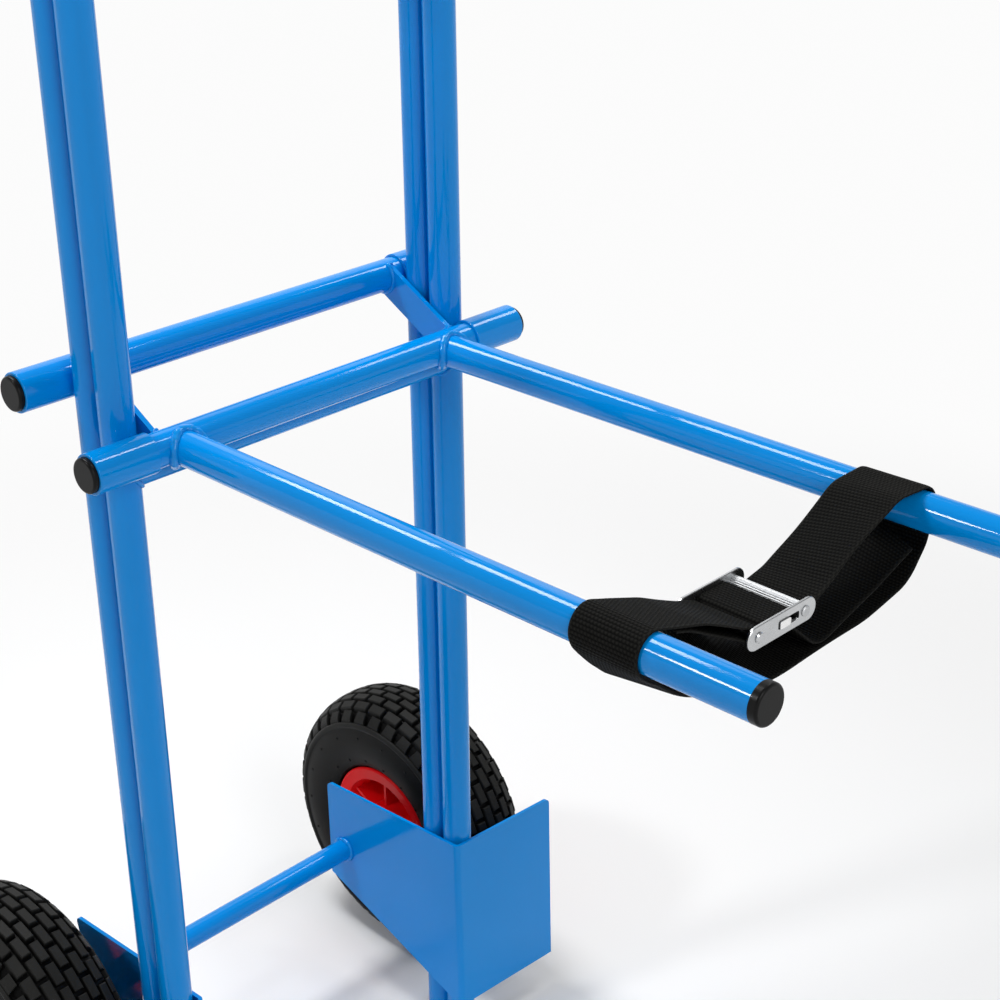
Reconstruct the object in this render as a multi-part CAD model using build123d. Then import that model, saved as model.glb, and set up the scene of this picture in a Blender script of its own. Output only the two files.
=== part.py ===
from build123d import *
import math
import os

# A chair trolley: two double-tube uprights on pneumatic wheels carry a fork carriage that slides up
# and down and holds by canting. X runs across the trolley, the fork points to -Y, the floor is z = 0.
# Sizes are in millimetres. "Left" and "right" are those of the person who pushes: left is +X.

# Tubes of the frame and of the carriage
tube_diameter = 25.0
tube_wall = 2.0
weld_gap = 0.1              # left between two pieces that a weld joins
pair_gap = 0.2              # left between the front and the rear tube of one upright

# Uprights, handles and fixed cross tubes
upright_spacing = 308.0     # centre to centre
front_tube_rise = 46.0      # above the axis of the top cross tube
bend_start_rise = 28.0      # above the same axis, where the rear tubes begin to bend
handle_bend_radius = 70.0
handle_bend_angle = 70.0
handle_length = 136.0
stop_tube_height = 658.0
top_tube_height = 1030.0

# Plastic plugs and grips
plug_flange = 4.0
plug_spigot = 18.0
plug_clearance = 0.1
plug_edge = 1.8
cap_length = 6.0            # the longer caps on the fork's arms
grip_length = 118.0
grip_wall = 4.0
grip_end = 4.0
grip_groove = 1.2
grip_groove_count = 9
grip_clearance = 0.1

# Wheel guards: one folded sheet beside and in front of each wheel, welded on a little askew
guard_thickness = 3.0
guard_gap = 0.2
guard_top = 204.0
guard_flank = 175.0
guard_front = 118.0
guard_fold_height = 165.0
guard_rear_height = 96.0
guard_corner = 5.0
guard_bend_radius = 2.0
guard_lean_forward = 3.9
guard_lean_inward = 3.0

# Axle and what holds the wheels on it
axle_diameter = 20.0
axle_setback = 134.0        # behind the axis of the front tubes
axle_end = 10.6             # beyond the outer washer
running_clearance = 0.05
washer_diameter = 36.0
washer_thickness = 2.5
washer_clearance = 0.1
wheel_end_play = 0.4
spacer_diameter = 28.0
spacer_guard_gap = 0.5
pin_diameter = 4.0
pin_clearance = 0.2
pin_leg = 16.0
pin_eye_radius = 5.0

# Wheels
wheel_diameter = 260.0
tyre_width = 85.0
wheel_offset = 63.0         # from the axis of an upright out to the middle of its wheel
tread_depth = 4.0
tread_groove = 3.0
tread_pitch_count = 36
tread_half_width = 33.0
tread_drop = 10.5           # from the crown to the edge of the tread
tyre_wall = 7.0
bead_radius = 51.0
bead_half_width = 31.0
bead_thickness = 9.0
bead_height = 11.5
rim_flange_radius = 62.5
rim_flange_thickness = 4.3
rim_mouth_radius = 50.0     # where the flange's face turns in to the recess
rim_mouth_drop = 1.5        # of that edge, below the flange's lip
rim_flare = 8.0             # the length over which the recess narrows to the barrel
rim_wall = 4.5
rim_clearance = 0.2
rim_web = 6.0
rim_rib = 3.0
rim_rib_count = 6
rim_window = 15.0
hub_length = 75.0
hub_diameter = 46.0
bearing_diameter = 32.0
bearing_length = 30.0
inner_tube_wall = 2.0
inner_tube_clearance = 1.0
valve_diameter = 8.0
valve_bore = 3.0
valve_reach = 24.0
valve_offset = 11.0
valve_cap_diameter = 10.0
valve_cap_length = 9.0
valve_cap_end = 2.5
valve_angle = 30.0

# Fork carriage
sleeve_diameter = 29.0
sleeve_clearance = 0.1
sleeve_edge = 0.8
sleeve_lap = 5.0            # from the axis of an upright in to the sleeve's inner end
sleeve_length = 48.5
clamp_gap = 0.3             # between a sleeve and the upright it bears on
rear_tube_rise = 35.4
side_bar_width = 25.0
side_bar_thickness = 4.0
side_bar_clearance = 0.8
side_bar_drop = 8.0         # the bar's centre line passes this far below the front tube's axis
rest_gap = 0.3              # between the side bars and the stop tube they come down on
arm_spacing = 250.0
arm_length = 494.0
arm_drop = 1.5              # the arms' roots, below the axis of the front tube
arm_rise_angle = 0.6        # the arms slope up a little towards their tips

# Webbing strap round the two arms. A bend is (x, z, radius) from the middle of the piece it is named for.
strap_width = 50.0
strap_thickness = 1.8
strap_setback = 97.0        # its centre line, behind the bare ends of the arms
strap_clearance = 0.4
strap_lap = 16.0            # from the sewn end to where the webbing meets the right arm
strap_seam = 14.0           # how much of that end is sewn to the run above it
strap_seam_radius = 30.0
strap_bends_off_anchor = ((-12.0, 8.8, 15.0), (-46.0, 25.0, 80.0))
strap_leave_angle = 40.0    # how steeply it hangs off the right arm
strap_leave_reach = 25.0    # its first bend, inwards from the right arm
strap_leave_radius = 60.0
strap_bends_below_right_arm = ((112.0, -62.2, 120.0),)
strap_bends_below_left_arm = ((-52.0, -57.2, 120.0), (-9.0, -46.7, 30.0))
strap_rise_angle = 75.0     # how steeply it comes up the outside of the left arm
strap_rise_length = 22.0
strap_rise_radius = 20.0
strap_level_length = 27.0   # on from the top of the left arm before it drops to the buckle
strap_drop_radius = 25.0
strap_entry_angle = 18.0    # how steeply it comes down into the buckle
strap_entry_length = 27.0
strap_entry_radius = 40.0
strap_climb_angle = 52.0    # from under the knurled bar to the top of the sliding bar
strap_climb_radius = 3.0
strap_loop_slack = 8.5      # from the sliding bar to where the webbing turns back round it
tail_bends_off_buckle = ((30.0, -29.0, 8.0), (52.0, -25.5, 60.0), (94.0, -14.0, 60.0))
tail_end_off_left_arm = (-13.0, -26.7, 0.0)

# Slide buckle of the strap
buckle_offset = -12.0       # from the middle of the trolley
buckle_depth = 25.7         # below the arms' axis
buckle_side_gap = 0.5       # between an edge of the strap and a side plate
buckle_plate_length = 65.0
buckle_plate_height = 15.5
buckle_plate_thickness = 2.0
plate_edge = 0.4
buckle_bar_spread = 22.0    # each riveted bar from the middle of the plate
buckle_anchor_diameter = 6.0
buckle_knurl_diameter = 8.6
buckle_knurl_depth = 0.35
buckle_knurl_count = 20
buckle_rivet_diameter = 4.0
buckle_rivet_head = 7.0
buckle_rivet_height = 1.2
rivet_clearance = 0.1
slide_bar_width = 10.0
slide_bar_height = 5.0
slide_bar_overhang = 1.0
slide_bar_clearance = 0.3
slide_slot_length = 20.0
slide_slot_offset = 6.0
slide_bar_start = 1.0       # from the near end of the slot

# Places that follow from the sizes
tube_radius = tube_diameter / 2
tube_bore = tube_diameter - 2 * tube_wall
upright_x = upright_spacing / 2
front_tube_top = top_tube_height + front_tube_rise
bend_start_height = top_tube_height + bend_start_rise
rear_tube_y = tube_diameter + pair_gap
axle_height = wheel_diameter / 2
wheel_x = upright_x + wheel_offset
hub_end = wheel_x + hub_length / 2
hub_start = wheel_x - hub_length / 2
axle_half = hub_end + wheel_end_play + washer_thickness + axle_end
sleeve_inner_end = upright_x - sleeve_lap
sleeve_end = sleeve_inner_end + sleeve_length
front_cross_y = -(tube_radius + clamp_gap + sleeve_diameter / 2)
rear_cross_y = rear_tube_y + tube_radius + clamp_gap + sleeve_diameter / 2
side_bar_slope = math.atan2(rear_tube_rise + side_bar_drop, rear_cross_y - front_cross_y)
side_bar_stand = (tube_radius + side_bar_width / 2 + rest_gap) / math.cos(side_bar_slope)
side_bar_rise = -front_cross_y * math.tan(side_bar_slope) - side_bar_drop
carriage_height = stop_tube_height + side_bar_stand - side_bar_rise
carriage_travel = top_tube_height - stop_tube_height - 2 * side_bar_stand
arm_x = arm_spacing / 2
arm_height = carriage_height - arm_drop
arm_slope = math.radians(arm_rise_angle)
arm_tip = front_cross_y - arm_length * math.cos(arm_slope)
strap_y = arm_tip + strap_setback
strap_height = arm_height + (front_cross_y - strap_y) * math.tan(arm_slope)
buckle_inner_width = strap_width + 2 * buckle_side_gap

# The origin is under the middle of the trolley's box, so everything moves by this much along Y
front_reach = arm_tip - cap_length * math.cos(arm_slope) - (tube_radius - plug_edge) * math.sin(arm_slope)
rear_reach = axle_setback + wheel_diameter / 2
middle_shift = -(front_reach + rear_reach) / 2

print("carriage axis", round(carriage_height, 2), "travel", round(carriage_travel, 2))
print("middle shift", round(middle_shift, 3))


def rod(start, end, diameter):
    """A solid round bar from one point to another."""
    run = Vector(*end) - Vector(*start)
    plane = Plane(origin=start, z_dir=run)
    return plane * Cylinder(diameter / 2, run.length, align=(Align.CENTER, Align.CENTER, Align.MIN))


def tube(start, end, diameter=tube_diameter, bore=tube_bore):
    """A straight tube with open ends."""
    return rod(start, end, diameter) - rod(start, end, bore)


def cross_rod(half_length, y, z, diameter):
    return rod((-half_length, y, z), (half_length, y, z), diameter)


def plug(mouth, outward, flange=plug_flange):
    """A plastic plug: a spigot in the tube's bore and a flange with a rounded edge over its wall."""
    plane = Plane(origin=mouth, z_dir=outward)
    inwards = (Align.CENTER, Align.CENTER, Align.MAX)
    outwards = (Align.CENTER, Align.CENTER, Align.MIN)
    spigot = Cylinder(tube_bore / 2 - plug_clearance, plug_spigot, align=inwards)
    head = Cylinder(tube_radius, flange, align=outwards)
    head = fillet(head.edges().group_by(Axis.Z)[-1], plug_edge)
    return plane * (spigot + head)


def pair(shape):
    """The piece on the left and its mirror image on the right."""
    return [shape, mirror(shape, about=Plane.YZ)]


def group(shapes):
    return Compound(children=shapes)


nodes = {}

# Uprights. The front tubes stand straight from their foot plugs to their top plugs.
front_upright = tube((upright_x, 0, plug_flange), (upright_x, 0, front_tube_top))
nodes["left_front_upright"], nodes["right_front_upright"] = pair(front_upright)

# The rear tubes run alongside and bend back into the handles.
rear_foot = Vector(upright_x, rear_tube_y, plug_flange)
rear_straight = Line(rear_foot, (upright_x, rear_tube_y, bend_start_height))
bend_centre_y = rear_tube_y + handle_bend_radius
bend = math.radians(handle_bend_angle)


def bend_point(angle):
    return Vector(
        upright_x,
        bend_centre_y - handle_bend_radius * math.cos(angle),
        bend_start_height + handle_bend_radius * math.sin(angle),
    )


handle_arc = ThreePointArc(rear_straight @ 1, bend_point(bend / 2), bend_point(bend))
handle_direction = Vector(0, math.sin(bend), math.cos(bend))
handle_tip = bend_point(bend) + handle_direction * handle_length
handle_run = Line(bend_point(bend), handle_tip)
rear_path = Wire([rear_straight.edge(), handle_arc.edge(), handle_run.edge()])
rear_section = Plane(origin=rear_foot, z_dir=(0, 0, 1)) * (Circle(tube_radius) - Circle(tube_bore / 2))
rear_upright = sweep(rear_section, path=rear_path)
nodes["left_rear_upright"], nodes["right_rear_upright"] = pair(rear_upright)

# Fixed cross tubes between the front tubes, coped to them: the lower one stops the carriage.
upright_envelope = rod((upright_x, 0, 0), (upright_x, 0, front_tube_top), tube_diameter + 2 * weld_gap)
upright_cope = group(pair(upright_envelope))


def fixed_cross_tube(height):
    return tube((-upright_x, 0, height), (upright_x, 0, height)) - upright_cope


def middle_solid(shape):
    """What is left between the uprights after coping."""
    return shape.solids().sort_by(SortBy.VOLUME)[-1]


nodes["stop_cross_tube"] = middle_solid(fixed_cross_tube(stop_tube_height))
nodes["top_cross_tube"] = middle_solid(fixed_cross_tube(top_tube_height))

# Plugs: a foot under each of the four tubes and one on top of each front tube.
down, up = (0, 0, -1), (0, 0, 1)
front_foot = plug((upright_x, 0, plug_flange), down)
rear_foot_plug = plug((upright_x, rear_tube_y, plug_flange), down)
nodes["foot_plugs"] = group(pair(front_foot) + pair(rear_foot_plug))
nodes["upright_top_plugs"] = group(pair(plug((upright_x, 0, front_tube_top), up)))

# Handle grips: closed sleeves with rings of shallow grooves.
grip_radius = tube_radius + grip_clearance + grip_wall
grip_bore = Cylinder(
    tube_radius + grip_clearance, grip_length, align=(Align.CENTER, Align.CENTER, Align.MAX)
)
grip = Cylinder(grip_radius, grip_length + grip_end, align=(Align.CENTER, Align.CENTER, Align.MAX))
grip = fillet(grip.edges().group_by(Axis.Z)[-1], grip_end / 2)
grip = Pos(0, 0, grip_end) * grip - grip_bore
groove_pitch = grip_length / (grip_groove_count + 2)
for ring in range(1, grip_groove_count + 1):
    groove = Torus(grip_radius + grip_groove / 2, grip_groove)
    grip -= Pos(0, 0, -(ring + 0.5) * groove_pitch) * groove
grip_mouth = handle_tip + handle_direction * weld_gap
grip = Plane(origin=grip_mouth, x_dir=(1, 0, 0), z_dir=handle_direction) * grip
nodes["left_grip"], nodes["right_grip"] = pair(grip)

# Axle: one bar through both guards, with a cross hole for a split pin near each end.
pin_x = hub_end + wheel_end_play + washer_thickness + pin_clearance + pin_diameter / 2
axle = cross_rod(axle_half, axle_setback, axle_height, axle_diameter)
pin_hole = rod(
    (pin_x, axle_setback, axle_height - axle_diameter),
    (pin_x, axle_setback, axle_height + axle_diameter),
    pin_diameter + 2 * pin_clearance,
)
axle -= group(pair(pin_hole))
nodes["axle"] = axle

# Wheel guards: a folded sheet whose flank is cut away below towards the rear.
fold_corner = (
    upright_x - tube_radius - guard_gap - guard_thickness,
    -(tube_radius + guard_gap + guard_thickness),
    guard_top,
)
guard_plan = make_face(
    Polyline(
        (0, 0),
        (guard_front, 0),
        (guard_front, guard_thickness),
        (guard_thickness, guard_thickness),
        (guard_thickness, guard_flank),
        (0, guard_flank),
        close=True,
    )
)
inner_corner = guard_plan.vertices().sort_by_distance((guard_thickness, guard_thickness, 0))[0]
guard_plan = fillet(inner_corner, guard_bend_radius)
outer_corner = guard_plan.vertices().sort_by_distance((0, 0, 0))[0]
guard_plan = fillet(outer_corner, guard_bend_radius + guard_thickness)
guard = extrude(guard_plan, -guard_fold_height)
cut_start = guard_thickness + guard_bend_radius
flank_cut = make_face(
    Polyline(
        (cut_start, -guard_fold_height),
        (guard_flank, -guard_rear_height),
        (guard_flank + guard_thickness, -guard_rear_height),
        (guard_flank + guard_thickness, -guard_fold_height - guard_thickness),
        (cut_start, -guard_fold_height - guard_thickness),
        close=True,
    )
)
guard -= extrude(Plane.YZ * flank_cut, 2 * guard_thickness, both=True)
top_edges = guard.edges().group_by(Axis.Z)[-1].sort_by(SortBy.LENGTH)
end_edges = [edge for edge in top_edges if abs(edge.length - guard_thickness) < 0.01]
guard = fillet(end_edges, guard_corner)
guard = Pos(*fold_corner) * Rot(-guard_lean_forward, guard_lean_inward, 0) * guard
guard -= cross_rod(axle_half, axle_setback, axle_height, axle_diameter + 2 * weld_gap)
nodes["left_wheel_guard"], nodes["right_wheel_guard"] = pair(guard)

# Axle fittings: a spacer from the guard to the hub, a washer at each end of the hub, a split pin.
inner_washer_x = hub_start - wheel_end_play - washer_thickness
spacer_start = upright_x - tube_radius + spacer_guard_gap
washer_bore = axle_diameter + 2 * washer_clearance


def on_axle(start, end, diameter):
    return tube((start, axle_setback, axle_height), (end, axle_setback, axle_height), diameter, washer_bore)


outer_washer_x = hub_end + wheel_end_play
inner_washer = on_axle(inner_washer_x, inner_washer_x + washer_thickness, washer_diameter)
outer_washer = on_axle(outer_washer_x, outer_washer_x + washer_thickness, washer_diameter)
nodes["axle_spacers"] = group(pair(on_axle(spacer_start, inner_washer_x, spacer_diameter)))
nodes["axle_washers"] = group(pair(inner_washer) + pair(outer_washer))
pin_top = axle_height + axle_diameter / 2 + pin_clearance
pin_shank_top = pin_top + pin_diameter / 2
split_pin = rod(
    (pin_x, axle_setback, axle_height - pin_leg), (pin_x, axle_setback, pin_shank_top), pin_diameter
)
pin_eye = Pos(pin_x, axle_setback, pin_shank_top + pin_eye_radius) * Rot(0, 90, 0)
split_pin += pin_eye * Torus(pin_eye_radius, 0.4 * pin_diameter)
nodes["split_pins"] = group(pair(split_pin))

# Wheel, drawn about its own centre with the axle along X.
wheel_radius = wheel_diameter / 2
tread_edge_radius = wheel_radius - tread_drop
widest_radius = (tread_edge_radius + rim_flange_radius) / 2
shoulder_x = tread_half_width + 0.5 * (tyre_width / 2 - tread_half_width)
shoulder_radius = tread_edge_radius - 2 * tread_depth
half_width = tyre_width / 2
sidewall_foot = (bead_half_width + rim_flange_thickness, rim_flange_radius + 2 * rim_clearance + 1.5)


def flip(point):
    return (-point[0], point[1])


tread_edge = (tread_half_width, tread_edge_radius)
shoulder = (shoulder_x, shoulder_radius)
widest = (half_width, widest_radius)
bead_top = (bead_half_width, rim_flange_radius + 1.0)
bead_foot = (bead_half_width, bead_radius + rim_clearance)
bead_toe = (bead_half_width - bead_thickness, bead_radius + rim_clearance)
bead_shelf = (bead_half_width - bead_thickness, bead_radius + bead_height)
inside_widest = (half_width - tyre_wall, widest_radius)
inside_crown = (0, wheel_radius - tread_depth - tyre_wall)


def tyre_face():
    """The tyre's horseshoe section: crown, shoulders, sidewalls, beads and the hollow inside."""
    lines = ThreePointArc(flip(tread_edge), (0, wheel_radius), tread_edge)
    for side in (lambda point: point, flip):
        lines += Line(side(tread_edge), side(shoulder))
        lines += ThreePointArc(side(shoulder), side(widest), side(sidewall_foot))
        lines += Line(side(sidewall_foot), side(bead_top))
        lines += Line(side(bead_top), side(bead_foot))
        lines += Line(side(bead_foot), side(bead_toe))
        lines += Line(side(bead_toe), side(bead_shelf))
        lines += Line(side(bead_shelf), side(inside_widest))
    lines += ThreePointArc(flip(inside_widest), inside_crown, inside_widest)
    return make_face(lines)


def tyre_hollow():
    """The hollow between the beads and under the crown, which the inner tube fills."""
    lines = ThreePointArc(flip(inside_widest), inside_crown, inside_widest)
    lines += Line(bead_toe, flip(bead_toe))
    for side in (lambda point: point, flip):
        lines += Line(side(bead_toe), side(bead_shelf))
        lines += Line(side(bead_shelf), side(inside_widest))
    return make_face(lines)


def tread_grooves():
    """Rings that part the rows of blocks."""
    rows = 5
    row_width = (2 * tread_half_width + 2 * tread_groove) / rows
    cutters = []
    for ring in range(1, rows):
        x = -tread_half_width - tread_groove + ring * row_width
        floor = wheel_radius - tread_depth - (tread_drop * (x / tread_half_width) ** 2)
        section = Pos(x, floor + wheel_radius / 2) * Rectangle(tread_groove, wheel_radius)
        cutters.append(revolve(section, Axis.X))
    return cutters


def shoulder_slots():
    """Slots across the outer rows, which show as notches in the tyre's outline."""
    slots = []
    length = half_width - tread_half_width + 0.22 * tread_half_width * 2
    for side in (1, -1):
        middle = side * (half_width - length / 2)
        for step in range(tread_pitch_count):
            angle = 360.0 / tread_pitch_count * (step + (0.25 if side > 0 else -0.25))
            slot = Box(length, tread_groove * 1.4, 3.6 * tread_depth)
            slots.append(Rot(angle, 0, 0) * Pos(middle, 0, tread_edge_radius + tread_depth) * slot)
    return slots


tyre = revolve(tyre_face(), Axis.X)
tyre -= tread_grooves()
tyre -= shoulder_slots()

# The rim: a barrel with a rounded flange each side, a web with windows, a hub and radial ribs.
rim_barrel = bead_radius - rim_clearance
rim_bore = rim_barrel - rim_wall
flange_x = bead_half_width + rim_clearance
lip_x = flange_x + rim_flange_thickness
lip_radius = rim_flange_radius - rim_flange_thickness / 2
hub_radius = hub_diameter / 2
bearing_seat = bearing_diameter / 2 + running_clearance
mouth = (lip_x - rim_mouth_drop, rim_mouth_radius)


def rim_face():
    """Half of the rim's section on each side of the middle, closed along the barrel and the bore."""
    lines = Line((-flange_x, rim_barrel), (flange_x, rim_barrel))
    lines += Line((-hub_length / 2, bearing_seat), (hub_length / 2, bearing_seat))
    for side in (lambda point: point, flip):
        lip_top = (flange_x + rim_flange_thickness / 2, rim_flange_radius)
        lines += Line(side((flange_x, rim_barrel)), side((flange_x, lip_radius)))
        lines += ThreePointArc(side((flange_x, lip_radius)), side(lip_top), side((lip_x, lip_radius)))
        lines += Line(side((lip_x, lip_radius)), side(mouth))
        lines += Line(side(mouth), side((mouth[0] - rim_flare, rim_bore)))
        lines += Line(side((mouth[0] - rim_flare, rim_bore)), side((rim_web / 2, rim_bore)))
        lines += Line(side((rim_web / 2, rim_bore)), side((rim_web / 2, hub_radius)))
        lines += Line(side((rim_web / 2, hub_radius)), side((hub_length / 2, hub_radius)))
        lines += Line(side((hub_length / 2, hub_radius)), side((hub_length / 2, bearing_seat)))
    return make_face(lines)


rim = revolve(rim_face(), Axis.X)
rib_start = hub_radius - rim_wall / 2
rib_end = rim_barrel - rim_wall / 2
rib_middle = (rib_start + rib_end) / 2
rib_width = 2 * flange_x - rim_flange_thickness
for step in range(rim_rib_count):
    turn = Rot(360.0 / rim_rib_count * step, 0, 0)
    rim += turn * Pos(0, 0, rib_middle) * Box(rib_width, rim_rib, rib_end - rib_start)
    half_turn = Rot(360.0 / rim_rib_count * (step + 0.5), 0, 0)
    window = half_turn * Pos(0, 0, rib_middle) * Rot(0, 90, 0) * Cylinder(rim_window / 2, 2 * rim_web)
    rim -= window
rim -= cross_rod(hub_length, 0, 0, 2 * bearing_seat)

bearing_ring = tube(
    (hub_length / 2 - bearing_length, 0, 0),
    (hub_length / 2, 0, 0),
    bearing_diameter,
    axle_diameter + 2 * running_clearance,
)

# The inner tube fills the tyre, and its valve comes in through the rim between two ribs.
valve_turn = Rot(valve_angle, 0, 0)
hollow = tyre_hollow()
tube_outside = offset(hollow, -inner_tube_clearance)
inner_section = tube_outside - offset(hollow, -inner_tube_clearance - inner_tube_wall)
inner_tube = revolve(inner_section, Axis.X)
valve_root = bead_radius + rim_clearance + inner_tube_clearance + inner_tube_wall / 2
valve_tip = rim_barrel - valve_reach


def valve_rod(start, end, diameter):
    return valve_turn * rod((valve_offset, 0, start), (valve_offset, 0, end), diameter)


inner_tube += valve_rod(valve_tip, valve_root, valve_diameter)
inner_tube -= valve_rod(valve_tip - 1, valve_root + inner_tube_wall, valve_bore)
rim -= valve_rod(valve_tip, rim_flange_radius, valve_diameter + 2 * rim_clearance)
cap_start = valve_tip - valve_cap_end
valve_cap = valve_rod(cap_start, cap_start + valve_cap_length, valve_cap_diameter)
cap_bore = valve_diameter + 2 * rim_clearance
valve_cap -= valve_rod(valve_tip - rim_clearance, cap_start + valve_cap_length, cap_bore)

wheel_pieces = {
    "tyre": tyre,
    "rim": rim,
    "inner_tube": inner_tube,
    "valve_cap": valve_cap,
    "bearings": group(pair(bearing_ring)),
}
for side, turn in (("left", Rot(0, 0, 0)), ("right", Rot(0, 0, 180))):
    place = Pos(wheel_x if side == "left" else -wheel_x, axle_setback, axle_height) * turn
    for name, piece in wheel_pieces.items():
        nodes[side + "_" + name] = place * piece

# Carriage: two cross tubes, one each side of the uprights, with sleeves where they bear on them.
rear_cross_z = carriage_height + rear_tube_rise
cross_tubes = {
    "front": (front_cross_y, carriage_height),
    "rear": (rear_cross_y, rear_cross_z),
}
plugs = []
for name, (y, z) in cross_tubes.items():
    nodes["carriage_" + name + "_tube"] = tube((-sleeve_end, y, z), (sleeve_end, y, z))
    sleeve = tube(
        (sleeve_inner_end, y, z), (sleeve_end, y, z), sleeve_diameter, tube_diameter + 2 * sleeve_clearance
    )
    end_circles = sleeve.edges().filter_by(GeomType.CIRCLE).group_by(SortBy.RADIUS)
    sleeve = fillet(end_circles[-1], sleeve_edge)
    nodes["left_" + name + "_sleeve"], nodes["right_" + name + "_sleeve"] = pair(sleeve)
    plugs += pair(plug((sleeve_end, y, z), (1, 0, 0)))
nodes["carriage_tube_plugs"] = group(plugs)

# Side bars: flat bars on edge, coped to both cross tubes, which rest on the stop tube.
side_bar_x = upright_x - tube_radius - side_bar_clearance - side_bar_thickness / 2
bar_start = Vector(side_bar_x, front_cross_y, carriage_height - side_bar_drop)
bar_end = Vector(side_bar_x, rear_cross_y, rear_cross_z)
bar_middle = (bar_start + bar_end) * 0.5
bar_length = (bar_end - bar_start).length
side_bar = Pos(*bar_middle) * Rot(math.degrees(side_bar_slope), 0, 0) * Box(
    side_bar_thickness, bar_length, side_bar_width
)
for y, z in cross_tubes.values():
    side_bar -= cross_rod(sleeve_end, y, z, tube_diameter + 2 * weld_gap)
nodes["left_side_bar"], nodes["right_side_bar"] = pair(middle_solid(side_bar))

# Fork arms, coped to the front tube, with a cap on each end.
arm_direction = Vector(0, -math.cos(arm_slope), math.sin(arm_slope))
arm_root = Vector(arm_x, front_cross_y, arm_height)
arm_end = arm_root + arm_direction * arm_length
arm = tube(arm_root, arm_end)
arm -= cross_rod(sleeve_end, front_cross_y, carriage_height, tube_diameter + 2 * weld_gap)
nodes["left_arm"], nodes["right_arm"] = pair(middle_solid(arm))
nodes["arm_caps"] = group(pair(plug(arm_end, arm_direction, cap_length)))

# Buckle: two side plates joined by a plain and a knurled bar that are riveted over, and a loose bar
# that slides in the plates' slots and pinches the webbing.
buckle = Pos(buckle_offset, strap_y, strap_height - buckle_depth)
plate_y = buckle_inner_width / 2 + buckle_plate_thickness / 2
slot_height = slide_bar_height + 2 * slide_bar_clearance
rivet_hole = buckle_rivet_diameter + 2 * rivet_clearance
plate_outline = SlotOverall(buckle_plate_length, buckle_plate_height)
slide_slot = RectangleRounded(slide_slot_length, slot_height, slot_height * 0.3)
plate_outline -= Pos(slide_slot_offset, 0) * slide_slot
plate_outline -= [Pos(x, 0) * Circle(rivet_hole / 2) for x in (-buckle_bar_spread, buckle_bar_spread)]
plate = extrude(Plane.XZ * plate_outline, buckle_plate_thickness / 2, both=True)
round_ends = plate.edges().filter_by(GeomType.CIRCLE).filter_by(lambda edge: edge.radius > rivet_hole)
plate = chamfer(round_ends, plate_edge)
nodes["buckle_front_plate"] = buckle * Pos(0, -plate_y, 0) * plate
nodes["buckle_rear_plate"] = buckle * Pos(0, plate_y, 0) * plate


def riveted_bar(x, body):
    """A bar between the plates with a spigot through each and a domed head outside."""
    bar = body
    outside = plate_y + buckle_plate_thickness / 2
    spigots = Cylinder(buckle_rivet_diameter / 2, 2 * outside + buckle_rivet_height)
    bar += Pos(x, 0, 0) * Rot(90, 0, 0) * spigots
    for side in (1, -1):
        head = Cylinder(buckle_rivet_head / 2, buckle_rivet_height)
        head = chamfer(head.edges().group_by(Axis.Z)[-1], buckle_rivet_height * 0.6)
        head_y = side * (outside + weld_gap + buckle_rivet_height / 2)
        bar += Pos(x, head_y, 0) * Rot(-90 * side, 0, 0) * head
    return bar


bar_span = buckle_inner_width - 2 * weld_gap
anchor_body = Pos(-buckle_bar_spread, 0, 0) * Rot(90, 0, 0) * Cylinder(buckle_anchor_diameter / 2, bar_span)
nodes["buckle_anchor_bar"] = buckle * riveted_bar(-buckle_bar_spread, anchor_body)
knurl_radius = buckle_knurl_diameter / 2
knurl_points = []
for step in range(2 * buckle_knurl_count):
    angle = math.pi * step / buckle_knurl_count
    radius = knurl_radius - (buckle_knurl_depth if step % 2 else 0.0)
    knurl_points.append((radius * math.cos(angle), radius * math.sin(angle)))
knurl_face = make_face(Polyline(*knurl_points, close=True))
knurl_body = Pos(buckle_bar_spread, 0, 0) * extrude(Plane.XZ * knurl_face, bar_span / 2, both=True)
nodes["buckle_knurled_bar"] = buckle * riveted_bar(buckle_bar_spread, knurl_body)

slot_start = slide_slot_offset - slide_slot_length / 2
slide_x = slot_start + slide_bar_start + slide_bar_width / 2
slide_length = buckle_inner_width + 2 * buckle_plate_thickness + 2 * slide_bar_overhang
slide_bar = Box(slide_bar_width, slide_length, slide_bar_height)
slide_bar = fillet(slide_bar.edges().filter_by(Axis.Y), slide_bar_height * 0.3)
nodes["buckle_slide_bar"] = buckle * Pos(slide_x, 0, 0) * slide_bar

# Strap: one band that is sewn round the anchor bar and goes round both arms. It comes back under the
# knurled bar, over the sliding bar and round it, and ends in a loose tail below. Its line is drawn in
# X and Z, with z measured from the arms' axis.
web_stand = strap_clearance + strap_thickness / 2
wrap_radius = tube_radius + web_stand
anchor_radius = buckle_anchor_diameter / 2 + web_stand
knurl_wrap = knurl_radius + web_stand
right_arm_centre = Vector(-arm_x, 0)
left_arm_centre = Vector(arm_x, 0)
buckle_centre = Vector(buckle_offset, -buckle_depth)
anchor_centre = buckle_centre - Vector(buckle_bar_spread, 0)
knurl_centre = buckle_centre + Vector(buckle_bar_spread, 0)


def heading(degrees):
    return Vector(math.cos(math.radians(degrees)), math.sin(math.radians(degrees)))


def tangent_corner(centre, radius, first, second):
    """Where two lines that touch a circle meet, given the angles of the points where they touch it."""
    both = heading(first) + heading(second)
    return centre + both * (radius / (1 + heading(first).dot(heading(second))))


def bearing(vector):
    return math.degrees(math.atan2(vector.Y, vector.X))


def touch_heading(start, centre, radius, side):
    """The heading of a line from a point that touches a circle on its right (1) or its left (-1)."""
    run = centre - start
    return bearing(run) + side * math.degrees(math.asin(radius / run.length))


def bends(origin, places):
    return [(origin + Vector(x, z), radius) for x, z, radius in places]


nearly = 0.99               # a bend takes a little less than its room, so that straight bits stay between

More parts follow.
